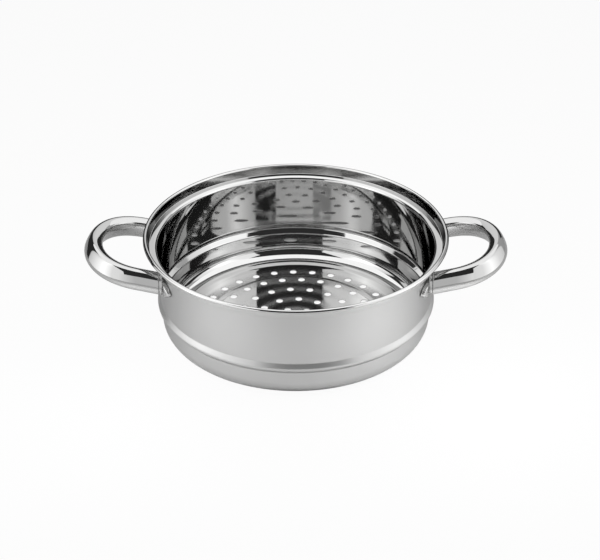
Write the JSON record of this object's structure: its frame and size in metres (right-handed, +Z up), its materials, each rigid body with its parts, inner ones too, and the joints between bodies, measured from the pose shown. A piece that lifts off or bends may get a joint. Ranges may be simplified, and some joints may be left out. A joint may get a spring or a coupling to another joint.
{
  "type": "steamer pot",
  "caption": "Round steel steamer pot insert with a perforated base, a stepped lid seat, a bead round the wall that rests on the pot below, and a tube loop handle at each side.",
  "frame": {"origin": "middle of the base, on the surface the insert stands on", "axes": "+X along the two handles, +Z up, front towards -Y"},
  "size_m": [0.3478, 0.25, 0.088],
  "materials": {
    "body_steel": "polished stainless, mirror inside and soft polish outside",
    "tube_steel": "mirror polished stainless tube",
    "foot_steel": "polished stainless pressing"
  },
  "bodies": {
    "root": {"body_shell": "body_steel", "handle_left": "tube_steel", "handle_right": "tube_steel", "bracket_left_front": "foot_steel", "bracket_left_back": "foot_steel", "bracket_right_front": "foot_steel", "bracket_right_back": "foot_steel"}
  },
  "joints": []
}
